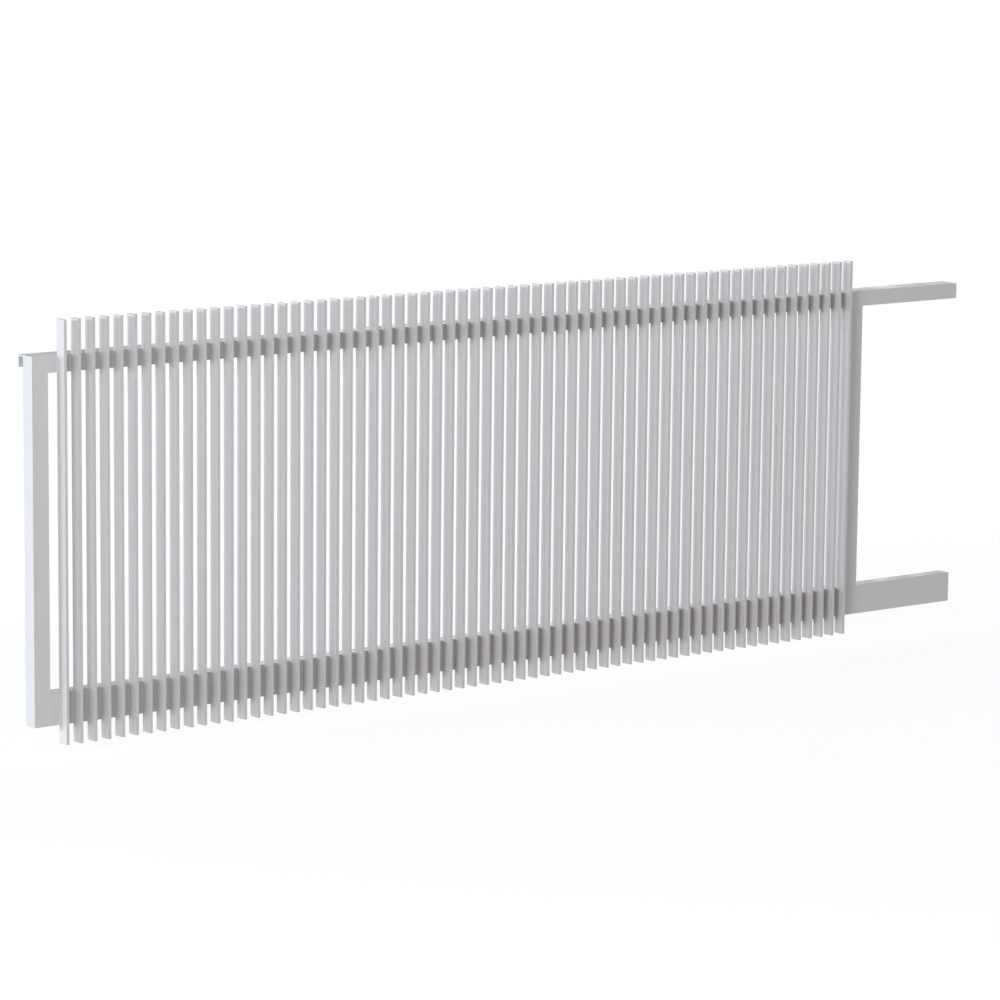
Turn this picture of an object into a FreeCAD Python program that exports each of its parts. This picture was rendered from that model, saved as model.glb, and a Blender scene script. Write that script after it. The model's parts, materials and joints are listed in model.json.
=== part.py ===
import FreeCAD, Part
import os
import Sketcher

# The leaf of a sliding driveway gate, in millimetres. X runs along the leaf, the slats stand on
# its front at -Y, and Z is up. The origin is the middle of the bottom rail's underside.

doc = FreeCAD.newDocument("sliding_gate_leaf")

# Driving dimensions. Every piece below takes its size and place from these cells.
DIMENSIONS = {
    # Frame: the length is taken over both stiles, and the tail runs on past the right one.
    "frame_length": 4500.0,
    "tail_length": 595.0,
    "frame_height": 1500.0,
    "frame_depth": 65.0,
    "bottom_rail_height": 135.0,
    "bottom_rail_wall": 4.0,
    "top_rail_height": 70.0,
    "top_rail_wall": 3.0,
    "stile_width": 75.0,
    "stile_wall": 3.0,
    "rail_cap_thickness": 3.0,
    # Guide angle behind the top rail: guide rollers run between its lip and the rail.
    "guide_reach": 35.0,
    "guide_drop": 50.0,
    "guide_flange_thickness": 8.0,
    "guide_lip_thickness": 5.0,
    # Slats: hollow, deeper than wide, centred in the frame's length at one pitch.
    "slat_pitch": 67.5,
    "slat_least_margin": 120.0,
    "slat_width": 13.0,
    "slat_depth": 53.0,
    "slat_wall": 1.5,
    "slat_rise": 145.0,
    "slat_drop": 75.0,
    "slat_cap_thickness": 2.0,
}

sizes = doc.addObject("Spreadsheet::Sheet", "sizes")
for row, (alias, value) in enumerate(DIMENSIONS.items(), start=1):
    sizes.set(f"A{row}", alias)
    sizes.set(f"B{row}", str(value))
    sizes.setAlias(f"B{row}", alias)
doc.recompute()

# Lengths and places that several pieces share, as expressions on the cells.
LEAF_LENGTH = "(sizes.frame_length + sizes.tail_length)"
LEFT_END = f"(-{LEAF_LENGTH} / 2)"
TAIL_END = f"({LEAF_LENGTH} / 2)"
RIGHT_STILE_OUTER = f"({LEFT_END} + sizes.frame_length)"
FRAME_FRONT = "(-sizes.frame_depth / 2)"
FRAME_BACK = "(sizes.frame_depth / 2)"
TOP_RAIL_UNDERSIDE = "(sizes.frame_height - sizes.top_rail_height)"
RAIL_TUBE_LENGTH = f"({LEAF_LENGTH} - 2 * sizes.rail_cap_thickness)"
STILE_HEIGHT = f"({TOP_RAIL_UNDERSIDE} - sizes.bottom_rail_height)"
SLAT_SPACES = "floor((sizes.frame_length - 2 * sizes.slat_least_margin) / sizes.slat_pitch)"
SLAT_RUN = f"({SLAT_SPACES} * sizes.slat_pitch)"
FIRST_SLAT_LEFT = f"({LEFT_END} + (sizes.frame_length - {SLAT_RUN} - sizes.slat_width) / 2)"
SLAT_FRONT = f"({FRAME_FRONT} - sizes.slat_depth)"
SLAT_BOTTOM = "(-sizes.slat_drop)"
SLAT_TOP = "(sizes.frame_height + sizes.slat_rise)"
SLAT_TUBE_HEIGHT = f"({SLAT_TOP} - {SLAT_BOTTOM} - 2 * sizes.slat_cap_thickness)"


def value_of(expression):
    """The number that an expression on the cells gives now."""
    result = sizes.evalExpression(expression)
    return float(getattr(result, "Value", result))


def new_body(label, x_place, y_place, z_place):
    """A body with its own name, placed by three expressions."""
    body = doc.addObject("PartDesign::Body", label)
    body.Label = label
    body.AllowCompound = True
    for axis, place in zip("xyz", (x_place, y_place, z_place)):
        body.setExpression(f"Placement.Base.{axis}", place)
    return body


def origin_feature(body, role):
    """One of the body's own origin planes or axes."""
    return next(feature for feature in body.Origin.OriginFeatures if feature.Role == role)


def sketch_on(body, plane_role):
    """An empty sketch on one of the body's own origin planes."""
    sketch = body.newObject("Sketcher::SketchObject", f"{body.Name}_section")
    sketch.AttachmentSupport = [(origin_feature(body, plane_role), "")]
    sketch.MapMode = "FlatFace"
    return sketch


# A constraint names a point by the number of its line and the end that it is at. The sketch's own
# axes are lines -1 and -2, and both start at its origin.
def start_of(line):
    """A line's start, as a constraint names it."""
    return line, 1


def end_of(line):
    """A line's end, as a constraint names it."""
    return line, 2


def dimension(sketch, name, kind, start, end, expression):
    """A named distance from one point to another, bound to the cells."""
    index = sketch.addConstraint(Sketcher.Constraint(kind, *start, *end, value_of(expression)))
    sketch.renameConstraint(index, name)
    sketch.setExpression(f"Constraints.{name}", expression)


def closed_outline(sketch, points):
    """Straight lines round a list of points, each line held level or upright."""
    first = sketch.GeometryCount
    count = len(points)
    for index in range(count):
        start = FreeCAD.Vector(*points[index], 0)
        end = FreeCAD.Vector(*points[(index + 1) % count], 0)
        sketch.addGeometry(Part.LineSegment(start, end), False)
    for index in range(count):
        line = first + index
        level = points[index][1] == points[(index + 1) % count][1]
        sketch.addConstraint(Sketcher.Constraint("Horizontal" if level else "Vertical", line))
        following = first + (index + 1) % count
        sketch.addConstraint(Sketcher.Constraint("Coincident", *end_of(line), *start_of(following)))
    return first


def add_rectangle(sketch, name, width, height, inset=None):
    """A rectangle from the sketch's origin, or moved in from it by an inset both ways."""
    across = value_of(width)
    up = value_of(height)
    corner = value_of(inset) if inset else 0.0
    first = closed_outline(sketch, [
        (corner, corner),
        (corner + across, corner),
        (corner + across, corner + up),
        (corner, corner + up),
    ])
    dimension(sketch, f"{name}_width", "DistanceX", start_of(first), end_of(first), width)
    dimension(sketch, f"{name}_height", "DistanceY", start_of(first + 1), end_of(first + 1), height)
    if inset is None:
        sketch.addConstraint(Sketcher.Constraint("Coincident", *start_of(first), *start_of(-1)))
        return
    dimension(sketch, f"{name}_across", "DistanceX", start_of(-1), start_of(first), inset)
    dimension(sketch, f"{name}_up", "DistanceY", start_of(-1), start_of(first), inset)


def add_pad(body, sketch, length):
    """The sketch pushed out along its plane's normal."""
    pad = body.newObject("PartDesign::Pad", f"{body.Name}_pad")
    pad.Profile = sketch
    pad.setExpression("Length", length)


def add_slat_row(body):
    """The body's one slat or cap repeated along the frame at the slats' pitch."""
    first = body.Tip
    row = body.newObject("PartDesign::LinearPattern", f"{body.Name}_row")
    row.Originals = [first]
    row.Direction = (origin_feature(body, "X_Axis"), [""])
    row.setExpression("Length", SLAT_RUN)
    row.setExpression("Occurrences", f"{SLAT_SPACES} + 1")
    body.Tip = row


def box_section(label, plane_role, width, height, wall, length, place):
    """A hollow box section: two rectangles, one inside the other by the wall."""
    body = new_body(label, *place)
    sketch = sketch_on(body, plane_role)
    add_rectangle(sketch, "outer", width, height)
    add_rectangle(sketch, "inner", f"{width} - 2 * {wall}", f"{height} - 2 * {wall}", wall)
    add_pad(body, sketch, length)
    return body


def plate(label, plane_role, width, height, thickness, place):
    """A plain rectangular plate."""
    body = new_body(label, *place)
    sketch = sketch_on(body, plane_role)
    add_rectangle(sketch, "outline", width, height)
    add_pad(body, sketch, thickness)
    return body


def build_rails():
    """Both rails run the leaf's whole length between their end caps."""
    start = f"({LEFT_END} + sizes.rail_cap_thickness)"
    bottom = box_section("bottom_rail", "YZ_Plane", "sizes.frame_depth", "sizes.bottom_rail_height",
                         "sizes.bottom_rail_wall", RAIL_TUBE_LENGTH, (start, FRAME_FRONT, "0"))
    top = box_section("top_rail", "YZ_Plane", "sizes.frame_depth", "sizes.top_rail_height",
                      "sizes.top_rail_wall", RAIL_TUBE_LENGTH, (start, FRAME_FRONT, TOP_RAIL_UNDERSIDE))
    return [bottom, top]


def build_rail_caps():
    """Plates that close the rails at the left end and at the end of the tail."""
    tail_start = f"({TAIL_END} - sizes.rail_cap_thickness)"
    rails = {
        "bottom_rail": ("sizes.bottom_rail_height", "0"),
        "top_rail": ("sizes.top_rail_height", TOP_RAIL_UNDERSIDE),
    }
    caps = []
    for rail, (height, bottom) in rails.items():
        for end, start in (("left", LEFT_END), ("tail", tail_start)):
            cap = plate(f"{rail}_{end}_cap", "YZ_Plane", "sizes.frame_depth", height,
                        "sizes.rail_cap_thickness", (start, FRAME_FRONT, bottom))
            caps.append(cap)
    return caps


def build_stiles():
    """The stiles stand on the bottom rail and carry the top rail."""
    starts = {
        "left_stile": LEFT_END,
        "right_stile": f"({RIGHT_STILE_OUTER} - sizes.stile_width)",
    }
    stiles = []
    for label, start in starts.items():
        stile = box_section(label, "XY_Plane", "sizes.stile_width", "sizes.frame_depth",
                            "sizes.stile_wall", STILE_HEIGHT,
                            (start, FRAME_FRONT, "sizes.bottom_rail_height"))
        stiles.append(stile)
    return stiles


def build_guide_angle():
    """A flange flush with the top rail's top, and a lip that hangs from its back edge."""
    body = new_body("guide_angle", LEFT_END, FRAME_BACK, "sizes.frame_height - sizes.guide_drop")
    sketch = sketch_on(body, "YZ_Plane")
    reach = sizes.guide_reach
    drop = sizes.guide_drop
    lip_front = reach - sizes.guide_lip_thickness
    flange_bottom = drop - sizes.guide_flange_thickness
    first = closed_outline(sketch, [
        (lip_front, 0.0),
        (reach, 0.0),
        (reach, drop),
        (0.0, drop),
        (0.0, flange_bottom),
        (lip_front, flange_bottom),
    ])
    under_lip, outside, top, against_rail = range(first, first + 4)
    dimension(sketch, "lip_thickness", "DistanceX", start_of(under_lip), end_of(under_lip),
              "sizes.guide_lip_thickness")
    dimension(sketch, "drop", "DistanceY", start_of(outside), end_of(outside), "sizes.guide_drop")
    dimension(sketch, "reach", "DistanceX", end_of(top), start_of(top), "sizes.guide_reach")
    dimension(sketch, "flange_thickness", "DistanceY", end_of(against_rail), start_of(against_rail),
              "sizes.guide_flange_thickness")
    sketch.addConstraint(Sketcher.Constraint("PointOnObject", *start_of(under_lip), -1))
    sketch.addConstraint(Sketcher.Constraint("PointOnObject", *end_of(against_rail), -2))
    add_pad(body, sketch, LEAF_LENGTH)
    return [body]


def build_slats():
    """The slats' backs lie on the frame's front; a cap closes each end of each slat."""
    slats = box_section("slats", "XY_Plane", "sizes.slat_width", "sizes.slat_depth", "sizes.slat_wall",
                        SLAT_TUBE_HEIGHT,
                        (FIRST_SLAT_LEFT, SLAT_FRONT, f"({SLAT_BOTTOM} + sizes.slat_cap_thickness)"))
    bodies = [slats]
    cap_bottoms = {
        "slat_bottom_caps": SLAT_BOTTOM,
        "slat_top_caps": f"({SLAT_TOP} - sizes.slat_cap_thickness)",
    }
    for label, bottom in cap_bottoms.items():
        bodies.append(plate(label, "XY_Plane", "sizes.slat_width", "sizes.slat_depth",
                            "sizes.slat_cap_thickness", (FIRST_SLAT_LEFT, SLAT_FRONT, bottom)))
    for body in bodies:
        add_slat_row(body)
    return bodies


def check(bodies):
    """Every feature is sound and every sub-part is a valid shape."""
    for item in doc.Objects:
        if "Invalid" in item.State or "Error" in item.State:
            raise RuntimeError(f"{item.Label} failed: {item.State}")
    for body in bodies:
        if body.Shape.isNull() or not body.Shape.isValid():
            raise RuntimeError(f"{body.Label} has no valid shape")


def write_parts(bodies):
    """One STEP file for each sub-part, under its own name."""
    os.makedirs("parts", exist_ok=True)
    for body in bodies:
        body.Shape.exportStep(os.path.join("parts", f"{body.Label}.step"))
        solids = len(body.Shape.Solids)
        print(f"{body.Label}: {solids} solids, {body.Shape.Volume / 1e6:.3f} dm3")


sub_parts = build_rails() + build_rail_caps() + build_stiles() + build_guide_angle() + build_slats()
doc.recompute()
check(sub_parts)
write_parts(sub_parts)
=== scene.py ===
# %% [markdown]
# # The leaf of a sliding driveway gate
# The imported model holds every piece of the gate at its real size, so this lesson never moves or
# reshapes one. It gives them their powder coat, adds the small things that a welder and a fitter
# leave behind, and sets up a camera, a floor and soft light like the picture's.
# Everything is in metres: X runs along the leaf, the slats stand on the -Y side, and Z is up.

# %% Load the gate
import json
import math
import bmesh
import bpy
from mathutils import Matrix, Vector


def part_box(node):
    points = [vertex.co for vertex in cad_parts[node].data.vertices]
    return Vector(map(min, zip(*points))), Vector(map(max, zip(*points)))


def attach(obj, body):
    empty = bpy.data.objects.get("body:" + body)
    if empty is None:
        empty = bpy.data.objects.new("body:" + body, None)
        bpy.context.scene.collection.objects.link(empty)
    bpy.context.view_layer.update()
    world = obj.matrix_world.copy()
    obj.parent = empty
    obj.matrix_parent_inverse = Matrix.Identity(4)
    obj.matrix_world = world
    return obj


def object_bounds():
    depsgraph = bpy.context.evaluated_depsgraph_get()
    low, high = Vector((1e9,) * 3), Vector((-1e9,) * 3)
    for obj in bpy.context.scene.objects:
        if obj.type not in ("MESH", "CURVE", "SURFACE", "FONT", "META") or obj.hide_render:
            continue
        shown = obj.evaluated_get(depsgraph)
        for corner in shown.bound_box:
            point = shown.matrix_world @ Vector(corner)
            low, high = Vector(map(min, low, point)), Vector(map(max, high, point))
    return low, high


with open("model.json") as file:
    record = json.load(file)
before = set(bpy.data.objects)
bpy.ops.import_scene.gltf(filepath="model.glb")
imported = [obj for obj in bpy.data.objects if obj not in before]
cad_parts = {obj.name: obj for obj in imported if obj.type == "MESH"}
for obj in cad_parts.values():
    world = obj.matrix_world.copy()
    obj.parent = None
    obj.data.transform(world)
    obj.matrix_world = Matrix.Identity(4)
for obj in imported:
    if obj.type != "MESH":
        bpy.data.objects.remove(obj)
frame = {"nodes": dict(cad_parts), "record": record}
cad_low, cad_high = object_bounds()
print("gate:", [round(high - low, 3) for low, high in zip(cad_low, cad_high)], "m")

# %% [markdown]
# ## Places that the later steps share
# The pieces already know where they are, so the rails', stiles' and slats' faces are read from
# their boxes rather than typed again. A changed gate then carries its welds and screws along. The
# slats are one piece in the model, so their middles are found from the wide gaps between the X
# values of its points.

# %% Read the main faces
_, left_stile_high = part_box("left_stile")
right_stile_low, right_stile_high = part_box("right_stile")
bottom_rail_low, bottom_rail_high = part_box("bottom_rail")
top_rail_low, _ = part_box("top_rail")
guide_low, guide_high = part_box("guide_angle")
slats_low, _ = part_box("slats")
frame_front = bottom_rail_low.y
frame_back = bottom_rail_high.y
WIDEST_SLAT = 0.02

edges = sorted({round(point.co.x, 5) for point in frame["nodes"]["slats"].data.vertices})
gaps = [(left, right) for left, right in zip(edges, edges[1:]) if right - left > WIDEST_SLAT]
slat_lefts = [edges[0]] + [right for left, right in gaps]
slat_rights = [left for left, right in gaps] + [edges[-1]]
slat_middles = [(left + right) / 2 for left, right in zip(slat_lefts, slat_rights)]
slat_pitch = slat_middles[1] - slat_middles[0]
print(len(slat_middles), "slats at a pitch of", round(slat_pitch * 1000, 1), "mm")

# %% [markdown]
# ## The camera
# The picture was taken with a long lens from the left and a little above. Its place, the way it
# points and its lens were worked out from the straight edges of the frame, so they are typed here
# as real sizes. The three turns are made one after the other: roll about the lens, then tilt down,
# then swing round from +Y. The upright edges run together a little more towards the floor than a
# lens aimed at the gate's middle shows. So the lens looks lower, and a small shift raises its view.

# %% Place the camera
CAMERA_PLACE = Vector((-12.190, -14.9965, 3.6584))
CAMERA_SWING = math.radians(38.799)
CAMERA_TILT_DOWN = math.radians(9.982)
CAMERA_ROLL = math.radians(0.579)
CAMERA_LENS = 162.09
CAMERA_SHIFT_UP = 0.1
CAMERA_REACH = 500.0

camera = bpy.data.objects.new("camera", bpy.data.cameras.new("camera"))
bpy.context.scene.collection.objects.link(camera)
camera.data.lens = CAMERA_LENS
camera.data.shift_y = CAMERA_SHIFT_UP
camera.data.clip_end = CAMERA_REACH
turn = Matrix.Rotation(-CAMERA_SWING, 4, "Z")
turn = turn @ Matrix.Rotation(math.pi / 2 - CAMERA_TILT_DOWN, 4, "X")
turn = turn @ Matrix.Rotation(CAMERA_ROLL, 4, "Z")
camera.matrix_world = Matrix.Translation(CAMERA_PLACE) @ turn
bpy.context.scene.camera = camera
gate_middle = (cad_low + cad_high) / 2
print("camera is", round((CAMERA_PLACE - gate_middle).length, 2), "m from the gate")

# %% [markdown]
# ## A small language for shaders
# A material is a tree of nodes, and arithmetic on its values needs a Math node for each step. The
# class below wraps one output socket, so that `1 - mask * 0.5` can be written as plain Python and
# the nodes appear by themselves. Any other node comes from one method, which takes the node's
# type, its settings and what goes into its sockets.

# %% Wrap sockets and node trees
class Signal:
    """One output socket. Arithmetic on it adds Math nodes to its tree."""

    def __init__(self, tree, socket):
        self.tree = tree
        self.socket = socket

    def math(self, operation, *terms):
        return self.tree.node("ShaderNodeMath", {"operation": operation}, dict(enumerate(terms)))

    def __add__(self, other):
        return self.math("ADD", self, other)

    def __radd__(self, other):
        return self.math("ADD", other, self)

    def __sub__(self, other):
        return self.math("SUBTRACT", self, other)

    def __rsub__(self, other):
        return self.math("SUBTRACT", other, self)

    def __mul__(self, other):
        return self.math("MULTIPLY", self, other)

    def __rmul__(self, other):
        return self.math("MULTIPLY", other, self)

    def __truediv__(self, other):
        return self.math("DIVIDE", self, other)

    def at_least(self, other):
        """The larger of this value and another."""
        return self.math("MAXIMUM", self, other)

    def whole(self):
        """The whole number at or below the value."""
        return self.math("FLOOR", self)

    def within(self, start, end):
        """0 where the value is at start, 1 where it is at end, and a smooth step between."""
        settings = {"interpolation_type": "SMOOTHSTEP"}
        return self.tree.node("ShaderNodeMapRange", settings, {0: self, 1: start, 2: end})

    def axis(self, index):
        """One number of a vector: 0 for X, 1 for Y and 2 for Z."""
        return self.tree.node("ShaderNodeSeparateXYZ", sockets={0: self}, output=index)


class ShaderTree:
    """The node tree of a material or a world."""

    def __init__(self, owner):
        owner.use_nodes = True
        self.nodes = owner.node_tree.nodes
        self.links = owner.node_tree.links
        self.nodes.clear()

    def node(self, kind, settings=None, sockets=None, output=0):
        """A node of this kind, with its settings made first and then its sockets."""
        made = self.nodes.new(kind)
        for name, value in (settings or {}).items():
            setattr(made, name, value)
        for key, value in (sockets or {}).items():
            if isinstance(value, Signal):
                self.links.new(value.socket, made.inputs[key])
            else:
                made.inputs[key].default_value = value
        return Signal(self, made.outputs[output]) if made.outputs else made

# %% [markdown]
# ## Floor and backdrop
# The picture shows the gate on pure white. A pale floor lies just below the slats' lower ends and
# bounces light up as a real studio floor does. A straight look at it, or one in a gloss, sees
# mostly a white glow in its place, mixed with enough of the lit paint to keep the gate's softest
# shadow. The lamps don't reach far, so away from the gate the glow takes over until the floor is
# all white. A node's outputs are counted from 0, and the ones that aren't the first get a name
# here.

# %% Lay the floor
FLOOR_BELOW_SLATS = 0.05
FLOOR_SIZE = 400.0
FLOOR_COLOUR = (0.9, 0.9, 0.9, 1.0)
GLOW_SHARE = 0.85
GLOW_STRENGTH = 1.06
GLOW_GROWS_FROM = 3.0
GLOW_GROWS_TO = 6.0
WHITE = (1.0, 1.0, 1.0, 1.0)
OBJECT_PLACE = 3
VECTOR_LENGTH = 1


def seen_directly(tree):
    """1 for the rays that show a thing to the eye: straight, in a gloss, or through glass."""
    camera_ray = tree.node("ShaderNodeLightPath")
    rays = camera_ray.socket.node.outputs
    glossy_ray = Signal(tree, rays["Is Glossy Ray"])
    glass_ray = Signal(tree, rays["Is Transmission Ray"])
    return camera_ray.at_least(glossy_ray).at_least(glass_ray)


def floor_finish():
    """Matt pale paint, behind a white glow that only the eye sees."""
    finish = bpy.data.materials.new("studio_floor")
    tree = ShaderTree(finish)
    place = tree.node("ShaderNodeTexCoord", output=OBJECT_PLACE)
    distance = tree.node("ShaderNodeVectorMath", {"operation": "LENGTH"}, {0: place}, VECTOR_LENGTH)
    far = distance.within(GLOW_GROWS_FROM, GLOW_GROWS_TO)
    paint = tree.node("ShaderNodeBsdfDiffuse", sockets={"Color": FLOOR_COLOUR})
    glow = tree.node("ShaderNodeEmission", sockets={
        "Color": WHITE,
        "Strength": GLOW_STRENGTH - far * (GLOW_STRENGTH - 1),
    })
    share = seen_directly(tree) * (GLOW_SHARE + far * (1 - GLOW_SHARE))
    both = tree.node("ShaderNodeMixShader", sockets={0: share, 1: paint, 2: glow})
    tree.node("ShaderNodeOutputMaterial", sockets={"Surface": both})
    return finish


floor_mesh = bpy.data.meshes.new("floor")
half = FLOOR_SIZE / 2
floor_corners = [(-half, -half, 0), (half, -half, 0), (half, half, 0), (-half, half, 0)]
floor_mesh.from_pydata(floor_corners, [], [(0, 1, 2, 3)])
floor = bpy.data.objects.new("floor", floor_mesh)
bpy.context.scene.collection.objects.link(floor)
floor.location.z = slats_low.z - FLOOR_BELOW_SLATS
floor_mesh.materials.append(floor_finish())
print("floor at z =", round(floor.location.z, 3))

# %% [markdown]
# ## Light
# In the picture the gate is brightest from behind and from the left, where the light is slightly
# blue, and the space between two slats darkens towards the rail. Light does that when it comes in
# low from the side: the next slat shades all but the slat's front and back edges. Softboxes near
# the gate give the broad light. All hang at one distance from the gate's middle, and each has an
# angle from the front and a rise over the floor of its own.

# %% Hang the softboxes
LAMP_DISTANCE = 10.0
SOFTBOXES = {
    "back_softbox": {"angle": 178, "rise": 15, "size": (5, 4), "power": 360,
                     "colour": (0.95, 0.95, 1.0)},
    "back_right_softbox": {"angle": -140, "rise": 15, "size": (5, 4), "power": 254,
                           "colour": (0.96, 0.92, 1.0)},
    "front_right_softbox": {"angle": -25, "rise": 15, "size": (5, 4), "power": 131,
                            "colour": (1.0, 0.95, 0.95)},
    "tall_front_left_softbox": {"angle": 55, "rise": 22, "size": (2.4, 7), "power": 334,
                                "colour": (0.97, 0.97, 1.0)},
}


def way_towards(angle, rise):
    """The way from the gate to a lamp. The angle is 0 in front and 90 at the left end."""
    level = math.cos(math.radians(rise))
    return Vector((
        -math.sin(math.radians(angle)) * level,
        -math.cos(math.radians(angle)) * level,
        math.sin(math.radians(rise)),
    ))


def hang_lamp(name, lamp, angle, rise):
    """The lamp on its way from the gate's middle, facing back to it."""
    lamp_object = bpy.data.objects.new(name, lamp)
    bpy.context.scene.collection.objects.link(lamp_object)
    way = way_towards(angle, rise)
    lamp_object.location = gate_middle + way * LAMP_DISTANCE
    lamp_object.rotation_euler = (-way).to_track_quat("-Z", "Y").to_euler()
    lamp_object.visible_camera = False


def hang_softbox(name, angle, rise, size, power, colour):
    """A wide lamp near the gate."""
    lamp = bpy.data.lights.new(name, "AREA")
    lamp.shape = "RECTANGLE"
    lamp.size, lamp.size_y = size
    lamp.energy = power
    lamp.color = colour
    hang_lamp(name, lamp, angle, rise)


for name, facts in SOFTBOXES.items():
    hang_softbox(name, **facts)
print("softboxes:", ", ".join(SOFTBOXES))

# %% [markdown]
# ## Light from far away
# A softbox ten metres off lights the near end of a five-metre gate more than the far end, and it
# reaches into each space between slats at another angle. The picture has some light that is the
# same all along. Blender's Sun gives that: it has no distance, only a way and the width of its
# disc. The real sun's disc is half a degree wide, and these are five or more, so their shadows are
# soft. Two shine from just behind the left end. They come in so flat that each slat shades the
# next but for its back edge, and there they draw the thin bright line that stands beside every
# gap. One is higher than the other, because a single one draws dark streaks under the rails.

# %% Add the far lamps
FAR_LAMPS = {
    "far_front": {"angle": 30, "rise": 10, "disc": 10, "strength": 0.60,
                  "colour": (1.0, 0.88, 0.80)},
    "far_left": {"angle": 62, "rise": 5, "disc": 15, "strength": 0.83,
                 "colour": (1.0, 0.90, 0.87)},
    "far_side": {"angle": 70, "rise": 15, "disc": 8, "strength": 0.25,
                 "colour": (0.81, 0.91, 1.0)},
    "far_sky": {"angle": 101.5, "rise": 10, "disc": 5, "strength": 1.4,
                "colour": (0.66, 0.85, 1.0)},
    "far_low": {"angle": 112, "rise": 4, "disc": 6, "strength": 0.74,
                "colour": (1.0, 0.94, 0.94)},
    "far_back": {"angle": 135, "rise": 6, "disc": 12, "strength": 0.48,
                 "colour": (0.79, 0.87, 1.0)},
}


def add_far_lamp(name, angle, rise, disc, strength, colour):
    """A wide sun, whose place doesn't matter."""
    lamp = bpy.data.lights.new(name, "SUN")
    lamp.angle = math.radians(disc)
    lamp.energy = strength
    lamp.color = colour
    hang_lamp(name, lamp, angle, rise)


for name, facts in FAR_LAMPS.items():
    add_far_lamp(name, **facts)
print("far lamps:", ", ".join(FAR_LAMPS))

# %% [markdown]
# ## An even world
# A weak bluish world fills what the lamps leave, so that no side is black. The eye sees plain white
# in its place, as it does with the floor. The Standard view shows every colour about as it is
# written.

# %% Light the world
WORLD_COLOUR = (0.85, 0.92, 1.0, 1.0)
WORLD_STRENGTH = 0.13

world = bpy.data.worlds.new("studio")
bpy.context.scene.world = world
sky = ShaderTree(world)
soft_light = sky.node("ShaderNodeBackground", sockets={
    "Color": WORLD_COLOUR,
    "Strength": WORLD_STRENGTH,
})
white_wall = sky.node("ShaderNodeBackground", sockets={"Color": WHITE, "Strength": 1.0})
seen = sky.node("ShaderNodeMixShader", sockets={
    0: seen_directly(sky),
    1: soft_light,
    2: white_wall,
})
sky.node("ShaderNodeOutputWorld", sockets={"Surface": seen})
bpy.context.scene.view_settings.view_transform = "Standard"
print("world strength:", WORLD_STRENGTH)

# %% [markdown]
# ## Powder coat
# The whole leaf is coated in one light grey powder. A plain grey would do for a distant look, but
# baked powder isn't flat: it has a fine orange peel a millimetre or two across, its tone and gloss
# wander a little from the oven, and outdoors a thin film of dust settles on what faces up. Noise
# textures in object space give all three, so that nothing slides when the camera moves. A mark that
# only one coat has comes in as a function, which returns how much darker and glossier it makes it.

# %% Mix the powder coat
POWDER_GREY = (0.5, 0.5, 0.5)
TONE_WANDER = 0.03
ROUGHNESS = 0.42
ROUGHNESS_WANDER = 0.12
CLOUDS_PER_METRE = 1.3
CLOUD_DETAIL = 3.0
DUST = (0.46, 0.44, 0.41, 1.0)
DUST_SHARE = 0.16
DUST_LIES_FROM = 0.7
DUST_LIES_FULL = 0.95
DUST_PATCHES_PER_METRE = 9.0
DUST_DETAIL = 4.0
DUST_PATCH_START = 0.3
DUST_PATCH_END = 0.7
PEEL_PER_METRE = 600.0
PEEL_DETAIL = 2.0
PEEL_HEIGHT = 0.0002
PEEL_STRENGTH = 0.25
FACE_NORMAL = 1
MIXED_COLOUR = 2


def noise(tree, place, scale, detail):
    """Cloudy values from 0 to 1, about a metre across divided by the scale."""
    return tree.node("ShaderNodeTexNoise", sockets={
        "Vector": place,
        "Scale": scale,
        "Detail": detail,
    })


def powder_coat(name, mark=None):
    """The light grey powder coat, with the marks that this coat alone has."""
    finish = bpy.data.materials.new(name)
    tree = ShaderTree(finish)
    place = tree.node("ShaderNodeTexCoord", output=OBJECT_PLACE)
    facing = tree.node("ShaderNodeNewGeometry", output=FACE_NORMAL)
    cloud = noise(tree, place, CLOUDS_PER_METRE, CLOUD_DETAIL)
    tone = 1 - TONE_WANDER / 2 + cloud * TONE_WANDER
    roughness = ROUGHNESS + cloud * ROUGHNESS_WANDER
    if mark:
        darker, glossier = mark(tree, place, facing)
        tone = tone * (1 - darker)
        roughness = roughness - glossier
    grey = tree.node("ShaderNodeVectorMath", {"operation": "SCALE"}, {
        0: POWDER_GREY,
        "Scale": tone,
    })
    upwards = facing.axis(2).within(DUST_LIES_FROM, DUST_LIES_FULL)
    patches = noise(tree, place, DUST_PATCHES_PER_METRE, DUST_DETAIL)
    settled = upwards * patches.within(DUST_PATCH_START, DUST_PATCH_END)
    colour = tree.node("ShaderNodeMix", {"data_type": "RGBA"}, {
        0: settled * DUST_SHARE,
        6: grey,
        7: DUST,
    }, MIXED_COLOUR)
    bump = tree.node("ShaderNodeBump", sockets={
        "Strength": PEEL_STRENGTH,
        "Distance": PEEL_HEIGHT,
        "Height": noise(tree, place, PEEL_PER_METRE, PEEL_DETAIL),
    })
    coat = tree.node("ShaderNodeBsdfPrincipled", sockets={
        "Base Color": colour,
        "Roughness": roughness + settled * DUST_SHARE,
        "Normal": bump,
    })
    tree.node("ShaderNodeOutputMaterial", sockets={"Surface": coat})
    return finish


coats = {slot: powder_coat(slot) for slot in ("frame_coat", "cap_coat", "slat_cap")}
print("plain coats:", ", ".join(coats))

# %% [markdown]
# ## A shade of its own for every slat
# The slats are cut from separate lengths and hang side by side in the oven, so no two come out
# quite alike. The slat's number is its X divided by the pitch, rounded down. White noise turns
# that number into a shade that is the same all over one slat and unlike its neighbours'.

# %% Coat the slats
SLAT_WANDER = 0.012
SLAT_GLOSS_WANDER = 0.036
first_space = slat_middles[0] - slat_pitch / 2


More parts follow.
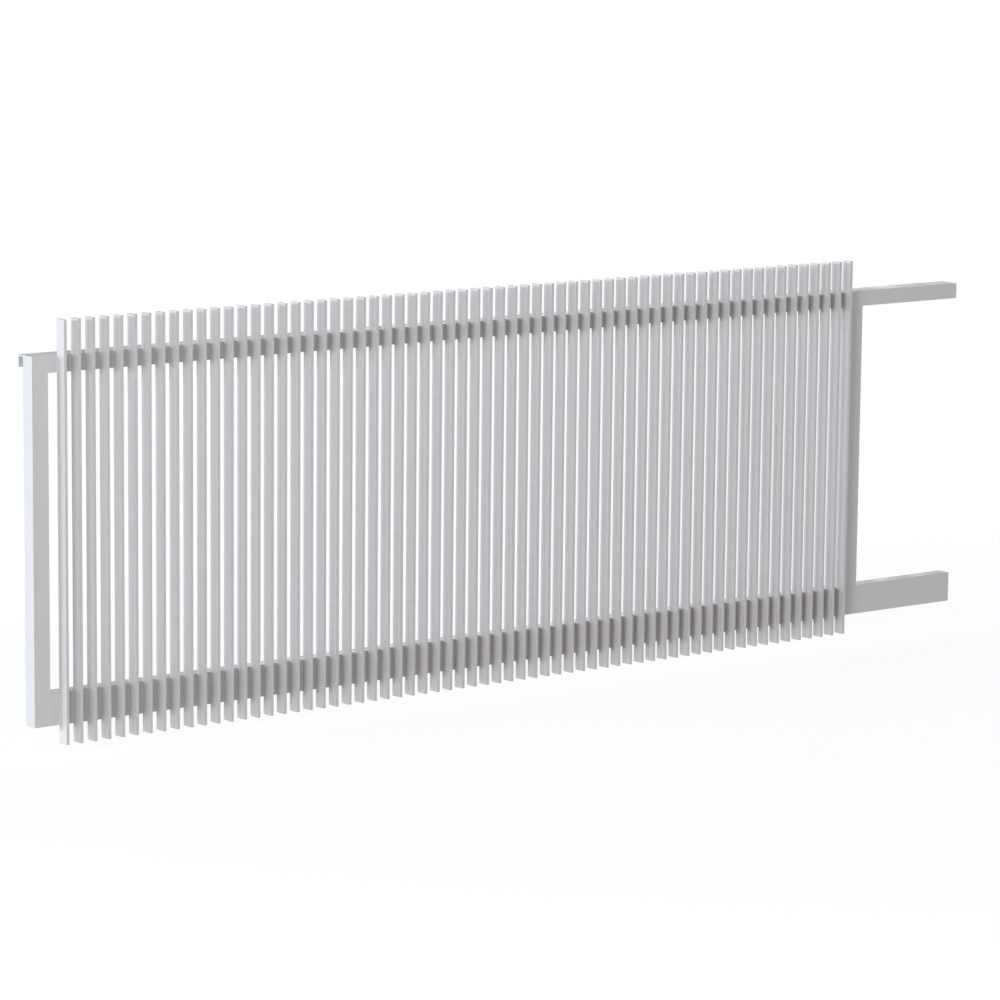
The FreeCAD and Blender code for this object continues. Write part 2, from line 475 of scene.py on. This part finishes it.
def slat_marks(tree, place, facing):
    """Each slat a little darker or glossier than the next."""
    number = ((place.axis(0) - first_space) / slat_pitch).whole()
    shade = tree.node("ShaderNodeTexWhiteNoise", {"noise_dimensions": "1D"}, {"W": number})
    return shade * SLAT_WANDER, shade * SLAT_GLOSS_WANDER


coats["slat_coat"] = powder_coat("slat_coat", slat_marks)
print("slat shades differ by up to", SLAT_WANDER)

# %% [markdown]
# ## The rub inside the guide
# The rollers that keep the leaf upright run inside the guide angle and polish a band along its lip.
# It lies on the lip's inner face, which looks towards the slats, so the mask asks for that facing
# and for the band's height. Long thin noise, stretched along X, breaks the band into streaks.

# %% Coat the guide angle
RUB_BOTTOM = guide_low.z + 0.006
RUB_TOP = guide_low.z + 0.034
RUB_EDGE = 0.005
RUB_DARKER = 0.05
RUB_GLOSSIER = 0.14
STREAK_SHAPE = (2.0, 90.0, 400.0)
STREAK_DETAIL = 2.0
STREAK_START = 0.25
STREAK_END = 0.65


def guide_marks(tree, place, facing):
    """A band that rollers have rubbed darker and smoother."""
    height = place.axis(2)
    above_start = height.within(RUB_BOTTOM, RUB_BOTTOM + RUB_EDGE)
    above_end = height.within(RUB_TOP - RUB_EDGE, RUB_TOP)
    inner_face = (0 - facing.axis(1)).within(0.5, 0.9)
    stretched = tree.node("ShaderNodeVectorMath", {"operation": "MULTIPLY"}, {
        0: place,
        1: STREAK_SHAPE,
    })
    streaks = noise(tree, stretched, 1.0, STREAK_DETAIL).within(STREAK_START, STREAK_END)
    rub = above_start * (1 - above_end) * inner_face * streaks
    return rub * RUB_DARKER, rub * RUB_GLOSSIER


coats["guide_coat"] = powder_coat("guide_coat", guide_marks)
print("rub from z =", round(RUB_BOTTOM, 3), "to", round(RUB_TOP, 3))

# %% [markdown]
# ## Every piece gets its coat
# The record names a slot for each node, and the coats above carry the slots' names. The piece's old
# material makes room for the new one in the same slot, so its faces need no new numbering.

# %% Coat the model's pieces
node_slots = {part["node"]: part["material_slot"] for part in frame["record"]["subparts"]}
for node, piece in frame["nodes"].items():
    piece.data.materials.clear()
    piece.data.materials.append(coats[node_slots[node]])
print("coated:", len(frame["nodes"]), "pieces")

# %% [markdown]
# ## Making a piece from a mesh in the making
# Each small piece below is drawn as a bmesh, which is Blender's editable mesh. One helper turns it
# into an object, gives it the frame's coat and lets it ride on the gate. Faces are shaded smooth
# except across a sharp angle, because a bead is round and a washer has an edge.

# %% Turn a bmesh into a piece
SHARP_ANGLE = math.radians(40)


def new_piece(name, drawn, slot):
    """The drawn mesh as a piece of the gate, in this slot's coat."""
    bmesh.ops.recalc_face_normals(drawn, faces=drawn.faces)
    mesh = bpy.data.meshes.new(name)
    drawn.to_mesh(mesh)
    drawn.free()
    mesh.polygons.foreach_set("use_smooth", [True] * len(mesh.polygons))
    mesh.set_sharp_from_angle(angle=SHARP_ANGLE)
    mesh.materials.append(coats[slot])
    piece = bpy.data.objects.new(name, mesh)
    bpy.context.scene.collection.objects.link(piece)
    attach(piece, "root")
    mesh.calc_loop_triangles()
    print(name, "has", len(mesh.loop_triangles), "triangles")
    return piece


def join_rings(drawn, rings):
    """Closed rings of points joined by faces, with a lid on the first and the last."""
    for ring, following in zip(rings, rings[1:]):
        for index in range(len(ring)):
            after = (index + 1) % len(ring)
            drawn.faces.new((ring[index], ring[after], following[after], following[index]))
    drawn.faces.new(rings[0])
    drawn.faces.new(rings[-1])

# %% [markdown]
# ## Weld beads
# The stiles are welded between the rails. The outer seams are ground flush before the coat goes on,
# and the beads in the inner corners stay. A bead is a small bulging triangle with ripples where the
# welder's hand moved on. It is swept along its corner in fine steps, and each step swells a little,
# which is real shape in the mesh and not bump.

# %% Weld the stiles
BEAD_LEG = 0.004
BEAD_STEP = 0.0008
BEAD_BULGE = 0.12
BEAD_SINK = 0.0004
BEAD_END_SIZE = 0.4
BEAD_ARC = (0.0, 0.25, 0.5, 0.75, 1.0)
RIPPLE = 0.0003
RIPPLE_PITCH = 0.0024
BEAD_INSET = 0.0015


def add_bead(drawn, corner, run, first_leg, second_leg, leg):
    """A bead from the corner along the run, with a leg on each of the two faces that meet there."""
    steps = round(run.length / BEAD_STEP)
    rings = []
    for step in range(steps + 1):
        along = run.length * step / steps
        ending = min(1.0, BEAD_END_SIZE + min(along, run.length - along) / leg)
        swollen = (leg + RIPPLE * abs(math.sin(math.pi * along / RIPPLE_PITCH))) * ending
        middle = corner + run * (step / steps)
        ring = [drawn.verts.new(middle - (first_leg + second_leg) * BEAD_SINK)]
        for share in BEAD_ARC:
            bulge = BEAD_BULGE * math.sin(math.pi * share)
            reach = first_leg * (1 - share + bulge) + second_leg * (share + bulge)
            ring.append(drawn.verts.new(middle + reach * swollen))
        rings.append(ring)
    join_rings(drawn, rings)


stile_beads = bmesh.new()
bead_run = Vector((0, frame_back - frame_front - 2 * BEAD_INSET, 0))
for face, outwards in ((left_stile_high.x, 1), (right_stile_low.x, -1), (right_stile_high.x, 1)):
    for seat, upwards in ((bottom_rail_high.z, 1), (top_rail_low.z, -1)):
        start = Vector((face, frame_front + BEAD_INSET, seat))
        on_rail = Vector((outwards, 0, 0))
        on_stile = Vector((0, 0, upwards))
        add_bead(stile_beads, start, bead_run, on_rail, on_stile, BEAD_LEG)
new_piece("stile_welds", stile_beads, "frame_coat")

# %% [markdown]
# ## Stitches under the guide
# A long thin angle warps if it is welded from end to end, so a welder tacks it with short beads at
# even spaces. They sit under the flange, against the rail's back. The flange's underside isn't in
# any box, so it is read from the guide's own points.

# %% Stitch the guide angle
STITCH_LEG = 0.003
STITCH_LENGTH = 0.04
STITCH_SPACING = 0.4
SAME_PLACE = 1e-4

guide_points = [point.co for point in frame["nodes"]["guide_angle"].data.vertices]
on_rail_back = [point for point in guide_points if abs(point.y - frame_back) < SAME_PLACE]
flange_underside = min(point.z for point in on_rail_back)
stitch_count = int((guide_high.x - guide_low.x) / STITCH_SPACING)
stitched_length = (stitch_count - 1) * STITCH_SPACING + STITCH_LENGTH
first_stitch = (guide_low.x + guide_high.x - stitched_length) / 2
stitches = bmesh.new()
for index in range(stitch_count):
    start = Vector((first_stitch + index * STITCH_SPACING, frame_back, flange_underside))
    run = Vector((STITCH_LENGTH, 0, 0))
    add_bead(stitches, start, run, Vector((0, 1, 0)), Vector((0, 0, -1)), STITCH_LEG)
new_piece("guide_welds", stitches, "guide_coat")
print(stitch_count, "stitches")

# %% [markdown]
# ## Screws behind the slats
# Long screws run through the rails from behind, one behind every slat in the top rail and two in
# the taller bottom rail. Only their button heads show, each on a washer. One head is a profile
# turned round its axis, and the last two rings are hexagons that go down into it as the key's
# socket. All of them are drawn into one mesh, and each is turned a little further than the one
# before, because no fitter stops every screw at the same angle.

# %% Draw one screw head
HEAD_SIDES = 24
HEAD_PROFILE = (
    (0.0060, -0.0002), (0.0060, 0.0009), (0.0057, 0.0012), (0.0053, 0.0012),
    (0.0052, 0.0020), (0.0045, 0.0033), (0.0035, 0.0041), (0.0027, 0.0044),
)
SOCKET_FLATS = 0.004
SOCKET_FLOOR = 0.0022


def hexagon_radius(angle):
    """How far the socket's flat side is from its middle at this angle."""
    from_flat = (angle + math.pi / 6) % (math.pi / 3) - math.pi / 6
    return SOCKET_FLATS / 2 / math.cos(from_flat)


def add_screw_head(drawn, place, spin):
    """A washer and a button head on a face that looks along +Y."""
    angles = [2 * math.pi * side / HEAD_SIDES for side in range(HEAD_SIDES)]
    outlines = [([radius] * HEAD_SIDES, height) for radius, height in HEAD_PROFILE]
    socket = [hexagon_radius(angle) for angle in angles]
    outlines += [(socket, HEAD_PROFILE[-1][1]), (socket, SOCKET_FLOOR)]
    rings = []
    for radii, height in outlines:
        ring = []
        for radius, angle in zip(radii, angles):
            turned = angle + spin
            offset = Vector((radius * math.cos(turned), height, radius * math.sin(turned)))
            ring.append(drawn.verts.new(place + offset))
        rings.append(ring)
    join_rings(drawn, rings)


print("head over the washer's face:", round(HEAD_PROFILE[-1][1] * 1000, 1), "mm")

# %% [markdown]
# ## One screw for every crossing
# In the top rail only a narrow strip shows below the guide's lip, so its screws sit in the middle
# of that strip. In the bottom rail they keep the same distance from its lower and upper edges.

# %% Set the screws
SCREW_INSET = 0.035
SPIN_STEP = 2.4
screw_heights = (
    bottom_rail_low.z + SCREW_INSET,
    bottom_rail_high.z - SCREW_INSET,
    (top_rail_low.z + guide_low.z) / 2,
)
screw_heads = bmesh.new()
for row, height in enumerate(screw_heights):
    for column, middle in enumerate(slat_middles):
        spin = SPIN_STEP * (row * len(slat_middles) + column)
        add_screw_head(screw_heads, Vector((middle, frame_back, height)), spin)
new_piece("slat_screws", screw_heads, "frame_coat")
print(len(screw_heights) * len(slat_middles), "screws")
